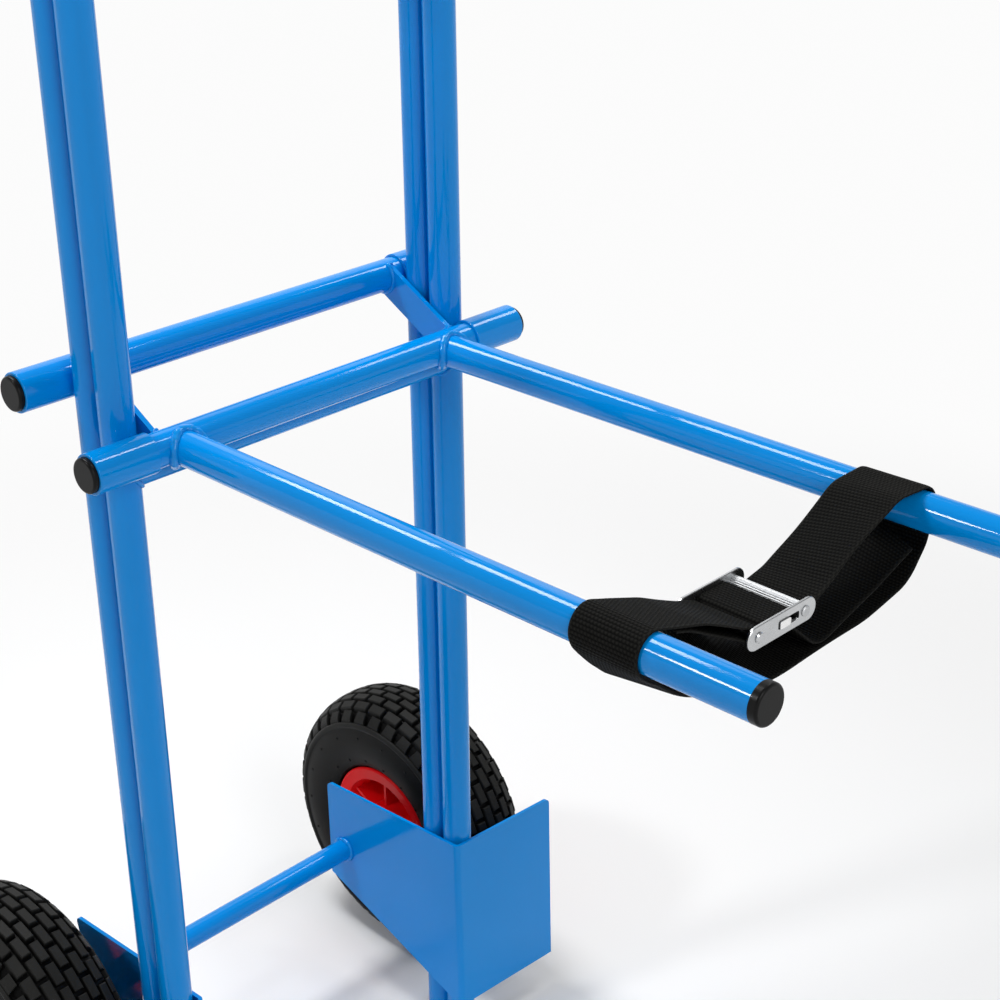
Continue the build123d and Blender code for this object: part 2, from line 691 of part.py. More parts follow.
# The upper run leaves the top of the anchor bar for the right arm, and the sewn lap lies under it.
upper_bends = bends(anchor_centre, strap_bends_off_anchor)
arm_heading = touch_heading(upper_bends[-1][0], right_arm_centre, wrap_radius, -1)
arm_touch = right_arm_centre + heading(arm_heading - 90) * wrap_radius
lap_depth = strap_thickness + strap_clearance
lap_end = arm_touch - heading(arm_heading) * strap_lap - heading(arm_heading - 90) * lap_depth
seam_end = lap_end - heading(arm_heading) * strap_seam
lap_heading = touch_heading(seam_end, anchor_centre, anchor_radius, -1)
first_bend = upper_bends[0][0]
start_heading = 180 + touch_heading(first_bend, anchor_centre, anchor_radius, 1)
anchor_right = 0.0
under_anchor = tangent_corner(anchor_centre, anchor_radius, lap_heading - 90, anchor_right)
over_anchor = tangent_corner(anchor_centre, anchor_radius, anchor_right, start_heading - 90)
route = [
    (lap_end, 0.0),
    (seam_end, strap_seam_radius),
    (under_anchor, anchor_radius * nearly),
    (over_anchor, anchor_radius * nearly),
]
route += upper_bends

# Round the right arm, down from it and along below to the left arm.
leave_touch = 270 - strap_leave_angle
leave_point = right_arm_centre + heading(leave_touch) * wrap_radius
leave_x = right_arm_centre.X + strap_leave_reach
leave_z = leave_point.Y - (leave_x - leave_point.X) * math.tan(math.radians(strap_leave_angle))
route += [
    (tangent_corner(right_arm_centre, wrap_radius, arm_heading - 90, 180), wrap_radius * nearly),
    (tangent_corner(right_arm_centre, wrap_radius, 180, leave_touch), wrap_radius * nearly),
    (Vector(leave_x, leave_z), strap_leave_radius),
]
route += bends(right_arm_centre, strap_bends_below_right_arm)
route += bends(left_arm_centre, strap_bends_below_left_arm)

# Up the outside of the left arm, over its top and down to the buckle.
rise_touch = left_arm_centre + heading(strap_rise_angle - 90) * wrap_radius
knurl_entry = knurl_centre + heading(270 + strap_entry_angle) * knurl_wrap
route += [
    (rise_touch - heading(strap_rise_angle) * strap_rise_length, strap_rise_radius),
    (tangent_corner(left_arm_centre, wrap_radius, strap_rise_angle - 90, 90), wrap_radius * nearly),
    (left_arm_centre + Vector(-strap_level_length, wrap_radius), strap_drop_radius),
    (knurl_entry + heading(strap_entry_angle) * strap_entry_length, strap_entry_radius),
]

# Under the knurled bar, over the sliding bar, round its end and back below it into the tail.
over_level = -buckle_depth + slide_bar_height / 2 + web_stand
under_level = -buckle_depth - slide_bar_height / 2 - web_stand
turn_radius = (over_level - under_level) / 2
slide_start = buckle_offset + slide_x - slide_bar_width / 2
slide_end = buckle_offset + slide_x + slide_bar_width / 2
turn_x = slide_start - web_stand - slide_bar_height * 0.26 - strap_loop_slack
entry_side = 270 + strap_entry_angle
climb_side = 270 - strap_climb_angle
climb_touch = knurl_centre + heading(climb_side) * knurl_wrap
climb_x = climb_touch.X - (over_level - climb_touch.Y) / math.tan(math.radians(strap_climb_angle))
route += [
    (tangent_corner(knurl_centre, knurl_wrap, entry_side, climb_side), knurl_wrap * nearly),
    (Vector(climb_x, over_level), strap_climb_radius),
    (Vector(turn_x, over_level), turn_radius * nearly),
    (Vector(turn_x, under_level), turn_radius * nearly),
    (Vector(slide_end + web_stand, under_level), strap_climb_radius),
]
route += bends(buckle_centre, tail_bends_off_buckle)
route += bends(left_arm_centre, (tail_end_off_left_arm,))
points = [(point.X, strap_y, strap_height + point.Y) for point, radius in route]
corner_radii = [radius for point, radius in route[1:-1]]
strap_path = FilletPolyline(*points, radius=corner_radii)
strap_plane = Plane(origin=strap_path @ 0, x_dir=(0, 1, 0), z_dir=strap_path % 0)
strap = sweep(strap_plane * Rectangle(strap_width, strap_thickness), path=strap_path)
nodes["strap"] = strap
print("strap length", round(strap_path.length, 1))

os.makedirs("parts", exist_ok=True)
for name, shape in nodes.items():
    export_step(Pos(0, middle_shift, 0) * shape, "parts/" + name + ".step")
print(len(nodes), "nodes")
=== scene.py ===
import bpy
import math
import random
from mathutils import Matrix, Vector


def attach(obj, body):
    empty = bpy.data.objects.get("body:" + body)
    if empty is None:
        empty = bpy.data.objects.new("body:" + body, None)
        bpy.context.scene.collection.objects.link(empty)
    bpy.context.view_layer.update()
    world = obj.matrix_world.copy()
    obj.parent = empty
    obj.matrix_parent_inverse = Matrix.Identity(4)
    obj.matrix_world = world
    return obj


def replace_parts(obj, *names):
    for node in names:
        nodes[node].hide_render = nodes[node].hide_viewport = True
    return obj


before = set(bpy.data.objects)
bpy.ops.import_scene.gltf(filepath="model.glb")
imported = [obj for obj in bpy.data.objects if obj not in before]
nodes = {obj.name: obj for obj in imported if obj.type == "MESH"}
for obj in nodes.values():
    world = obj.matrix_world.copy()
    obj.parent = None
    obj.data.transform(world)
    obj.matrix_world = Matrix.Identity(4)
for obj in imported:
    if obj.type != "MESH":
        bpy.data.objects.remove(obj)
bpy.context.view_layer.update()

# Uprights: four round steel tubes, welded side by side in two pairs and powder coated blue after
# welding. The rear tube of each pair is bent back into a handle.


class Value:
    """A socket of a finish, so that shader maths reads as plain arithmetic."""

    def __init__(self, finish, socket):
        self.finish = finish
        self.socket = socket

    def combine(self, operation, first, second):
        return self.finish.node("Math", {"operation": operation}, {0: first, 1: second})

    def __add__(self, other):
        return self.combine("ADD", self, other)

    def __radd__(self, other):
        return self.combine("ADD", other, self)

    def __mul__(self, other):
        return self.combine("MULTIPLY", self, other)

    def __rmul__(self, other):
        return self.combine("MULTIPLY", other, self)


class Finish:
    """One material: a Principled shader and the nodes that feed it."""

    def __init__(self, name):
        self.material = bpy.data.materials.new(name)
        self.material.use_nodes = True
        self.tree = self.material.node_tree
        self.shader = self.tree.nodes["Principled BSDF"]

    def feed(self, socket, value):
        if isinstance(value, Value):
            self.tree.links.new(value.socket, socket)
        else:
            socket.default_value = value

    def node(self, kind, settings=None, inputs=None, output=0):
        made = self.tree.nodes.new("ShaderNode" + kind)
        for key, value in (settings or {}).items():
            setattr(made, key, value)
        for key, value in (inputs or {}).items():
            self.feed(made.inputs[key], value)
        return Value(self, made.outputs[output])

    def set(self, **sockets):
        """Feeds the shader's inputs. A name has an underscore for each space."""
        for key, value in sockets.items():
            self.feed(self.shader.inputs[key.replace("_", " ")], value)

    def place(self):
        return self.node("TexCoord", output="Object")

    def attribute(self, name):
        return self.node("Attribute", {"attribute_name": name}, output="Fac")

    def noise(self, scale, detail):
        return self.node("TexNoise", None, {"Scale": scale, "Detail": detail, "Vector": self.place()})

    def mix(self, factor, first, second):
        """A colour between two. The colour sockets are the node's inputs 6 and 7 and its output 2."""
        settings = {"data_type": "RGBA"}
        return self.node("Mix", settings, {0: factor, 6: (*first, 1), 7: (*second, 1)}, output=2)

    def bump(self, height, strength, distance):
        return self.node("Bump", None, {"Height": height, "Strength": strength, "Distance": distance})


def blue_paint():
    """Glossy powder coat: an even blue with faint cloudiness and a fine orange peel."""
    paint = Finish("blue powder coat")
    clouds = paint.noise(scale=7.0, detail=3.0)
    peel = paint.noise(scale=420.0, detail=2.0)
    paint.set(
        Base_Color=paint.mix(clouds, (0.0, 0.236, 0.66), (0.0, 0.262, 0.745)),
        Roughness=0.06 + 0.05 * clouds,
        Specular_IOR_Level=0.24,
        Normal=paint.bump(peel, strength=0.02, distance=0.00025),
    )
    return paint.material


def paint_nodes(material, *names):
    """Gives CAD pieces their finish."""
    for name in names:
        mesh = nodes[name].data
        mesh.materials.clear()
        mesh.materials.append(material)


blue = blue_paint()
paint_nodes(blue, "left_front_upright", "right_front_upright")
paint_nodes(blue, "left_rear_upright", "right_rear_upright")

# Fixed cross tubes: coped to the front uprights and welded round. They are the stops that the
# carriage's side bars come against, and the welds leave that side free.
paint_nodes(blue, "stop_cross_tube", "top_cross_tube")
upright_x = 0.154
upright_y = 0.131692  # the axes of the front uprights
tube_radius = 0.0125
stop_tube_z = 0.658
top_tube_z = 1.030
stop_weld_start = 156  # degrees round the tube
top_weld_start = -24
cross_weld_sweep = 285
cross_weld_spread = 1.04  # of the bead's line, times the tube's radius
cross_weld_stand = 0.0003  # of the bead's line, off the upright
cross_weld_width = 0.0032
weld_draws = random.Random(7)
both_sides = (("left", 1), ("right", -1))


def add_piece(name, points, faces, material, body, smooth=True):
    """A mesh piece that moves with a body and takes its finish."""
    mesh = bpy.data.meshes.new(name)
    mesh.from_pydata([tuple(p) for p in points], [], faces)
    mesh.materials.append(material)
    mesh.polygons.foreach_set("use_smooth", [smooth] * len(mesh.polygons))
    mesh.update()
    piece = bpy.data.objects.new(name, mesh)
    bpy.context.scene.collection.objects.link(piece)
    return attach(piece, body)


def weld_bead(name, body, path, width):
    """A painted-over weld: a lumpy round bead along a line of points, tapered off at both ends."""
    sides = 12
    lump_length = 0.8 * width
    lump_draws = 60
    mean_size = 0.92
    ripple_size = 0.05
    drift_size = 0.08
    tip_size = 0.35
    taper_step = 0.12
    last = len(path) - 1
    points, faces = [], []
    normal = (path[1] - path[0]).orthogonal().normalized()
    travelled = 0.0
    swell = [weld_draws.uniform(-1, 1) for _ in range(lump_draws)]
    for i, here in enumerate(path):
        ahead = (path[min(i + 1, last)] - path[max(i - 1, 0)]).normalized()
        normal = (normal - ahead * normal.dot(ahead)).normalized()
        side = ahead.cross(normal)
        if i:
            travelled += (here - path[i - 1]).length
        lump = travelled / lump_length
        share = lump % 1.0
        blend = share * share * (3 - 2 * share)
        drift = swell[int(lump)] * (1 - blend) + swell[int(lump) + 1] * blend
        ripple = mean_size + ripple_size * math.cos(2 * math.pi * lump) + drift_size * drift
        taper = min(1.0, tip_size + taper_step * min(i, last - i))
        radius = width / 2 * ripple * taper
        for k in range(sides):
            angle = 2 * math.pi * k / sides
            points.append(here + (normal * math.cos(angle) + side * math.sin(angle)) * radius)
    for i in range(last):
        for k in range(sides):
            a, b = i * sides + k, i * sides + (k + 1) % sides
            faces.append((a, b, b + sides, a + sides))
    faces.append(tuple(reversed(range(sides))))
    faces.append(tuple(range(last * sides, last * sides + sides)))
    return add_piece(name, points, faces, blue, body)


def turn_angles(start, sweep, steps):
    """Even steps round a turn that is given in degrees, in radians."""
    return [math.radians(start + sweep * step / steps) for step in range(steps + 1)]


def cope_path(side, height, start):
    """The line round the end of a cross tube, where it meets a front upright."""
    path = []
    for angle in turn_angles(start, cross_weld_sweep, 82):
        y = tube_radius * math.cos(angle)
        rise = tube_radius * math.sin(angle)
        x = upright_x - math.sqrt(max(tube_radius**2 - y**2, 0.0)) - cross_weld_stand
        spread_y = upright_y + cross_weld_spread * y
        path.append(Vector((side * x, spread_y, height + cross_weld_spread * rise)))
    return path


for tube_name, height, start in (
    ("stop", stop_tube_z, stop_weld_start),
    ("top", top_tube_z, top_weld_start),
):
    for side_name, side in both_sides:
        line = cope_path(side, height, start)
        weld_bead(f"{side_name}_{tube_name}_tube_weld", "frame", line, cross_weld_width)

# Axle and wheel guards: a bar run through the flanks of two folded sheets and welded round on the
# inside. All of it is coated in the same blue.
paint_nodes(blue, "axle", "left_wheel_guard", "right_wheel_guard")
axle_y = upright_y + 0.134
axle_z = 0.130
flank_x = 0.1342  # the inner face of a guard's flank, at the axle
flank_lean = 0.052  # of that face, outwards for each unit of height
lapped_turn = 365  # degrees: a full turn and a little lap
axle_weld_start = 60
axle_weld_radius = 0.0104
axle_weld_stand = 0.0004
axle_weld_width = 0.0046
for side_name, side in both_sides:
    ring = []
    for angle in turn_angles(axle_weld_start, lapped_turn, 84):
        rise = axle_weld_radius * math.sin(angle)
        x = flank_x + rise * flank_lean - axle_weld_stand
        ring.append(Vector((side * x, axle_y + axle_weld_radius * math.cos(angle), axle_z + rise)))
    weld_bead(f"{side_name}_axle_weld", "frame", ring, axle_weld_width)

# Plugs, feet and spacers: black polythene mouldings pushed into or over the tubes. The caps of the tyre
# valves are moulded in the same black.


def black_moulding():
    plastic = Finish("black moulding")
    grain = plastic.noise(scale=900.0, detail=2.0)
    wear = plastic.noise(scale=38.0, detail=3.0)
    plastic.set(
        Base_Color=plastic.mix(wear, (0.003, 0.003, 0.003), (0.007, 0.007, 0.007)),
        Roughness=0.22 + 0.18 * wear,
        Specular_IOR_Level=0.12,
        Normal=plastic.bump(grain, strength=0.15, distance=0.0002),
    )
    return plastic.material


black = black_moulding()
paint_nodes(black, "foot_plugs", "upright_top_plugs", "carriage_tube_plugs", "arm_caps", "axle_spacers")
paint_nodes(black, "left_valve_cap", "right_valve_cap")

# Grips: soft rubber sleeves with shallow rings, pushed over the ends of the handles. The inner tubes,
# out of sight in the tyres, take the same rubber.


def soft_rubber():
    rubber = Finish("soft grip rubber")
    grain = rubber.noise(scale=1400.0, detail=2.0)
    bloom = rubber.noise(scale=25.0, detail=3.0)
    rubber.set(
        Base_Color=rubber.mix(bloom, (0.012, 0.012, 0.012), (0.024, 0.024, 0.025)),
        Roughness=0.55 + 0.2 * bloom,
        Normal=rubber.bump(grain, strength=0.3, distance=0.0002),
    )
    return rubber.material


grip_rubber = soft_rubber()
paint_nodes(grip_rubber, "left_grip", "right_grip", "left_inner_tube", "right_inner_tube")

# Axle fittings and bearings: bright zinc-plated steel, a little streaked and uneven in tone.


def zinc_plate(name, dull, bright):
    zinc = Finish(name)
    streaks = zinc.noise(scale=160.0, detail=3.0)
    spangle = zinc.noise(scale=45.0, detail=2.0)
    zinc.set(
        Base_Color=zinc.mix(spangle, dull, bright),
        Metallic=1.0,
        Roughness=0.20 + 0.16 * streaks,
        Normal=zinc.bump(streaks, strength=0.08, distance=0.0002),
    )
    return zinc.material


zinc = zinc_plate("zinc plate", (0.48, 0.49, 0.50), (0.63, 0.64, 0.65))
paint_nodes(zinc, "axle_washers", "split_pins", "left_bearings", "right_bearings")

# Rims: one-piece red plastic mouldings with a deep recess and radial ribs on both sides.


def red_moulding():
    plastic = Finish("red moulding")
    flow = plastic.noise(scale=18.0, detail=3.0)
    grain = plastic.noise(scale=700.0, detail=2.0)
    plastic.set(
        Base_Color=plastic.mix(flow, (0.88, 0.005, 0.008), (0.98, 0.008, 0.012)),
        Roughness=0.24 + 0.12 * flow,
        Specular_IOR_Level=0.08,
        Normal=plastic.bump(grain, strength=0.08, distance=0.0002),
    )
    return plastic.material


red = red_moulding()
paint_nodes(red, "left_rim", "right_rim")

# Tyres: moulded rubber with staggered rows of oblong blocks, lugs that run over the shoulders, a raised
# ring below them and plain sidewalls with the small marks that the mould's vents leave.


def tyre_rubber():
    """Black rubber, dusty on the tread, with painted shade: the grooves are painted darkest and the
    sidewalls darker than the tread's top.
    """
    rubber = Finish("tyre rubber")
    dust = rubber.noise(scale=30.0, detail=4.0)
    grain = rubber.noise(scale=600.0, detail=2.0)
    # Painted shade: the mask is 0 in the grooves and a part share on the sidewalls, so they render darker;
    # on the tread's top it carries the dust.
    dust_and_painted_shade = rubber.attribute("dust_and_shade_mask") * (0.4 + 0.9 * dust)
    rubber.set(
        Base_Color=rubber.mix(dust_and_painted_shade, (0.0003, 0.0003, 0.0003), (0.018, 0.018, 0.017)),
        Roughness=0.40 + 0.20 * dust,
        Specular_IOR_Level=0.09,
        Normal=rubber.bump(grain, strength=0.2, distance=0.0003),
    )
    return rubber.material


tyre_black = tyre_rubber()
wheel_x = 0.217
crown = 0.130  # the radius at the middle of the tread
waist = 0.092  # the radius where the tyre is widest
bulge = 0.043  # half of the width there
roundness = 2.35
tread_depth = 0.005
tread_half_width = 0.033
block_count = 36
row_pitch = 0.0103
half_groove = 0.0013  # between two rows
half_slot = 0.0022  # between two blocks of a row
block_root = 0.0008  # sunk in the casing
lug_offsets = [0.0318, 0.0338, 0.0360, 0.0382]
lug_half_gaps = [0.0050, 0.0048, 0.0044, 0.0036]
lug_lead = 0.2  # of a pitch
lug_depth = 0.0080
vent_count = 18
vent_rings = ((0.0960, 0.23, 0.0417), (0.0725, 0.20, 0.0393))  # radius, turn, offset along the axle
# Painted light and shade: the top band of the tread gets the lighter, dusty colour, the sidewalls a part of
# it and the grooves none.
top_band_depth = 0.002
sidewall_x = 0.0379
sidewall_dust_and_shade = 0.5


def crown_radius(x):
    """The tyre's rounded outline above its waist: the radius at an offset along the axle."""
    share = max(0.0, 1 - (abs(x) / bulge) ** roundness)
    return waist + (crown - waist) * share ** (1 / roundness)


def tyre_profile():
    """Half section from the middle of the tread out to the bead: offset along the axle, and radius."""
    half = []
    for step in range(9):
        x = tread_half_width * step / 8
        half.append((x, crown_radius(x) - tread_depth))
    half += [(0.0344, 0.1106), (0.0356, 0.1090), (0.0368, 0.1090), (0.0380, 0.1102), (0.0392, 0.1104)]
    half += [(0.0402, 0.1092), (0.0408, 0.1074), (0.0407, 0.1058), (0.0399, 0.1050), (0.0399, 0.1038)]
    half += [(0.0408, 0.1005), (0.0418, 0.0955), (0.0422, 0.0900), (0.0418, 0.0830), (0.0406, 0.0765)]
    half += [(0.0388, 0.0712), (0.0370, 0.0672)]
    half += [(0.0358, 0.0652), (0.0346, 0.0643), (0.0318, 0.0638), (0.0311, 0.0634), (0.0311, 0.0513)]
    return half


def tyre_casing(points, faces):
    """The smooth body of the tyre: its section turned round the axle."""
    half = tyre_profile()
    section = [(-x, r) for x, r in reversed(half)] + half[1:]
    steps = 144
    count = len(section)
    for step in range(steps):
        turn = 2 * math.pi * step / steps
        for x, radius in section:
            points.append((x, radius * math.sin(turn), radius * math.cos(turn)))
    for step in range(steps):
        here, ahead = step * count, (step + 1) % steps * count
        for k in range(count - 1):
            faces.append((here + k, here + k + 1, ahead + k + 1, ahead + k))


def tread_block(points, faces, offsets, angle, half_lengths, depth):
    """One block with drafted sides, a small chamfer and a top that follows the tyre's outline."""
    chamfer = 0.0006
    ring = 2 * len(offsets)
    first = len(points)
    for level, shrink in ((depth, -chamfer), (chamfer, 0.0), (0.0, chamfer)):
        stations = list(zip(offsets, half_lengths))
        for way, order in ((-1, stations), (1, stations[::-1])):
            for x, half_length in order:
                inset = shrink if x == offsets[0] else -shrink if x == offsets[-1] else 0.0
                turn = angle + way * (half_length - shrink) / crown
                radius = crown_radius(x + inset) - level
                points.append((x + inset, radius * math.sin(turn), radius * math.cos(turn)))
    for level in (0, ring):
        for k in range(ring):
            a, b = first + level + k, first + level + (k + 1) % ring
            faces.append((a, b, b + ring, a + ring))
    top = first + 2 * ring
    for k in range(len(offsets) - 1):
        faces.append((top + k, top + k + 1, top + ring - 2 - k, top + ring - 1 - k))


def vent_mark(points, faces, side, radius, turn, offset):
    """A small round nib on a sidewall, a little wider at its root."""
    sides = 8
    first = len(points)
    centre = (radius * math.sin(turn), radius * math.cos(turn))
    for size, rise in ((0.0015, -0.0006), (0.0012, 0.0006)):
        for k in range(sides):
            angle = 2 * math.pi * k / sides
            y = centre[0] + size * math.cos(angle)
            z = centre[1] + size * math.sin(angle)
            points.append((side * (offset + rise), y, z))
    for k in range(sides):
        a, b = first + k, first + (k + 1) % sides
        faces.append((a, b, b + sides, a + sides))
    faces.append(tuple(range(first + sides, first + 2 * sides)))


def tyre_tread(points, faces):
    """Rows of blocks over the crown, and on each side the shoulder lugs and the vent marks."""
    pitch = 2 * math.pi / block_count
    half_pitch = pitch * crown / 2
    for row in range(-3, 3):
        offsets = [row * row_pitch + half_groove, (row + 1) * row_pitch - half_groove]
        half_lengths = [half_pitch - half_slot] * 2
        for step in range(block_count):
            turn = pitch * (step + 0.5 * (row % 2))
            tread_block(points, faces, offsets, turn, half_lengths, tread_depth + block_root)
    lug_half = [half_pitch - gap for gap in lug_half_gaps]
    for edge in (1, -1):
        offsets = lug_offsets if edge == 1 else [-x for x in reversed(lug_offsets)]
        half_lengths = lug_half if edge == 1 else lug_half[::-1]
        for step in range(block_count):
            tread_block(points, faces, offsets, pitch * (step + lug_lead), half_lengths, lug_depth)
        for step in range(vent_count):
            turn = 2 * math.pi * step / vent_count
            for radius, lead, offset in vent_rings:
                vent_mark(points, faces, edge, radius, turn + lead, offset)


def add_attribute(piece, name, values):
    """One number for each point of a piece, for its finish to read."""
    piece.data.attributes.new(name, "FLOAT", "POINT").data.foreach_set("value", values)


def make_tyre(side_name, side):
    """A tyre in its place. Its casing is smooth, and the blocks keep their edges."""
    points, faces = [], []
    tyre_casing(points, faces)
    smooth_faces = len(faces)
    tyre_tread(points, faces)
    centre = Vector((side * wheel_x, axle_y, axle_z))
    placed = [centre + Vector(p) for p in points]
    body = f"{side_name}_wheel"
    tyre = add_piece(f"{side_name}_block_tyre", placed, faces, tyre_black, body, smooth=False)
    for polygon in tyre.data.polygons[:smooth_faces]:
        polygon.use_smooth = True
    # Painted shade: points down in the grooves get 0 and the sidewalls a part share, so they render darker
    # than the tread's top.
    dust_and_shade_mask = []
    for x, y, z in points:
        height = math.hypot(y, z) - crown_radius(x)
        dust_and_shade_mask.append(1.0 if height > -top_band_depth else sidewall_dust_and_shade if abs(x) > sidewall_x else 0.0)
    add_attribute(tyre, "dust_and_shade_mask", dust_and_shade_mask)
    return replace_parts(tyre, f"{side_name}_tyre")


for side_name, side in both_sides:
    make_tyre(side_name, side)

# Carriage: cross tubes, sleeves, side bars and fork arms, one weldment in the same blue. The arms and
# the side bars have weld beads, dressed a little and painted over.
paint_nodes(blue, "carriage_front_tube", "carriage_rear_tube")
paint_nodes(blue, "left_front_sleeve", "right_front_sleeve", "left_rear_sleeve", "right_rear_sleeve")
paint_nodes(blue, "left_side_bar", "right_side_bar", "left_arm", "right_arm")
front_tube_y = upright_y - 0.0273
front_tube_z = 0.67995
rear_tube_y = upright_y + 0.0525
rear_tube_z = 0.71535
arm_x = 0.125
arm_drop = 0.0015  # the arms' roots, below the front tube's axis
arm_weld_start = -80
arm_weld_spread = 1.05
arm_weld_stand = 0.0004
arm_weld_width = 0.0072
bar_slope = 28.56
bar_inner_face = 0.1367
bar_weld_spread = 1.03
bar_weld_stand = 0.0003
bar_weld_width = 0.0040
bar_edge_step = 0.0008
# Each end of a side bar: where its weld starts round the tube, from the bar's slope, and its sweep.
bar_ends = (
    ("front", front_tube_y, front_tube_z, 26, -96),
    ("rear", rear_tube_y, rear_tube_z, 95, 170),
)


def arm_seam(side):
    """The line round the root of an arm, where it meets the front tube."""
    seam = []
    for angle in turn_angles(arm_weld_start, lapped_turn, 104):
        rise = tube_radius * math.sin(angle) - arm_drop
        y = front_tube_y - math.sqrt(max(tube_radius**2 - rise**2, 0.0)) - arm_weld_stand
        x = side * arm_x + arm_weld_spread * tube_radius * math.cos(angle)
        seam.append(Vector((x, y, front_tube_z + arm_weld_spread * rise)))
    return seam


def bar_seam(side, tube_y, tube_z, start, sweep):
    """The line across the edge of a side bar and on round the tube that the bar is welded to."""
    reach = bar_weld_spread * tube_radius
    x = side * (bar_inner_face - bar_weld_stand)
    seam = []
    for angle in turn_angles(bar_slope + start, sweep, 39):
        seam.append(Vector((x, tube_y + reach * math.cos(angle), tube_z + reach * math.sin(angle))))
    across = [seam[0] + Vector((side * bar_edge_step * k, 0, 0)) for k in range(6, 0, -1)]
    return across + seam


for side_name, side in both_sides:
    weld_bead(f"{side_name}_arm_weld", "fork_carriage", arm_seam(side), arm_weld_width)
    for end, tube_y, tube_z, start, sweep in bar_ends:
        seam = bar_seam(side, tube_y, tube_z, start, sweep)
        weld_bead(f"{side_name}_{end}_side_bar_weld", "fork_carriage", seam, bar_weld_width)

# Buckle: two stamped side plates, two riveted bars and a loose lock bar, all zinc plated. The lock bar's
# zinc is painted much lighter, a painted highlight, and the knurled bar's plating is dulled by wear.
paint_nodes(zinc, "buckle_front_plate", "buckle_rear_plate", "buckle_anchor_bar")
# Painted highlight: a much lighter copy of the zinc for the lock bar.
highlight_zinc = zinc_plate("painted highlight zinc", (0.86, 0.86, 0.86), (0.94, 0.94, 0.93))
paint_nodes(highlight_zinc, "buckle_slide_bar")


def knurled_zinc():
    """Plating dulled by wear over the fine flutes of the gripping bar."""
    knurl = Finish("knurled zinc")
    wear = knurl.noise(scale=240.0, detail=3.0)
    knurl.set(
        Base_Color=knurl.mix(wear, (0.50, 0.51, 0.52), (0.68, 0.69, 0.70)),
        Metallic=1.0,
        Roughness=0.48 + 0.14 * wear,
        Normal=knurl.bump(wear, strength=0.1, distance=0.0002),
    )
    return knurl.material


paint_nodes(knurled_zinc(), "buckle_knurled_bar")

# Strap: black polypropylene webbing, 50 mm wide, woven with ribs across it and a plain selvedge. One
# end is sewn round the buckle's anchor bar. It goes slack round both arms, comes back under the knurled
# bar, over the lock bar and round it, and ends in a loose tail. This section is in millimetres.


def black_webbing():
    """Matt black yarn with painted shade: darker down between the ribs and lighter on their crests, which
    the warp divides into cells.
    """
    webbing = Finish("black webbing")
    fibre = webbing.noise(scale=1500.0, detail=3.0)
    fade = webbing.noise(scale=22.0, detail=3.0)
    warp = webbing.attribute("warp")
    cell = 0.68 + 0.32 * webbing.node("Math", {"operation": "SINE"}, {0: warp})
    # Painted shade: the colour is darkened down between the ribs and lit on their crests, times the weave's
    # cells and a random fade.
    light = webbing.attribute("rib_crest_shade") * cell * (0.7 + 0.6 * fade)
    webbing.set(
        Base_Color=webbing.mix(light, (0.0004, 0.0004, 0.0004), (0.014, 0.014, 0.0125)),
        Roughness=0.50 + 0.25 * fibre,
        Specular_IOR_Level=0.04,
        Normal=webbing.bump(fibre + 1.5 * cell, strength=0.5, distance=0.0003),
    )
    return webbing.material


web = black_webbing()
web_width = 50.0
web_thickness = 1.7
rib_pitch = 2.4
rib_height = 0.40
rib_mean = 0.6  # of a rib's height, level with the plain webbing
rib_steps = 6
warp_pitch = 2.6
selvedge = 0.92  # from here to the edge, of half the width, there are no ribs
tail_slant = 5.0
tail_slant_run = 40.0
# Half of the lanes along the webbing: the place across it and the thickness there, as shares.
half_lanes = [(0.0, 1.0), (0.3, 1.0), (0.6, 1.0), (0.91, 1.0), (0.95, 1.0), (0.985, 0.75), (1.0, 0.4)]

# The middle of the strap's plane, and what the webbing goes round, as seen from the front.
strap_y = -424.27
strap_z = 682.607
arm_right = Vector((-125.0, 0.0))
arm_left = Vector((125.0, 0.0))
buckle = Vector((-12.0, -25.7))
bar_spread = Vector((22.0, 0.0))
anchor = buckle - bar_spread
knurl = buckle + bar_spread
web_stand = 1.3  # of the webbing's middle, off what it goes round
wrap = 12.5 + web_stand
anchor_wrap = 3.0 + web_stand
knurl_wrap = 4.3 + web_stand
snug = 0.99  # of a wrap's radius, which leaves a short straight run between two arcs

# Lengths and slopes of the route.
lap_run = 16.0  # from the sewn end to where the webbing meets the right arm
lap_drop = 2.2
seam_run = 14.0
leave_slope = 40
leave_x = -100.0
rise_slope = 75
rise_run = 22.0
level_run = 27.0
entry_slope = 18
entry_run = 27.0
climb_slope = 52
over_level = -21.9
under_level = -29.5
loop_x = -26.1
tail_x = -3.7


def heading(degrees):
    return Vector((math.cos(math.radians(degrees)), math.sin(math.radians(degrees))))


def tangent_corner(centre, radius, first, second):
    """Where two lines that touch a circle meet, from the angles of the points where they touch it."""
    a, b = heading(first), heading(second)
    return centre + (a + b) * (radius / (1 + a.dot(b)))


def touch_heading(start, centre, radius, side):
    """The heading of a line from a point that touches a circle on its right (1) or its left (-1)."""
    run = centre - start
    return math.degrees(math.atan2(run.y, run.x) + side * math.asin(radius / run.length))


def rounded_route(corners):
    """Points along straight runs joined by tangent arcs. Each corner is a point and its radius."""
    arc_steps = 16
    route = [corners[0][0]]
    for (before, _), (corner, radius), (after, _) in zip(corners, corners[1:], corners[2:]):
        back_way = (before - corner).normalized()
        on_way = (after - corner).normalized()
        half = back_way.angle(on_way) / 2
        setback = radius / math.tan(half)
        start = corner + back_way * setback
        end = corner + on_way * setback
        centre = corner + (back_way + on_way).normalized() * (radius / math.sin(half))
        first = start - centre
        sweep = first.angle_signed(end - centre)
        for step in range(arc_steps + 1):
            turned = first.copy()
            turned.rotate(Matrix.Rotation(-sweep * step / arc_steps, 2))
            route.append(centre + turned)
    route.append(corners[-1][0])
    return route


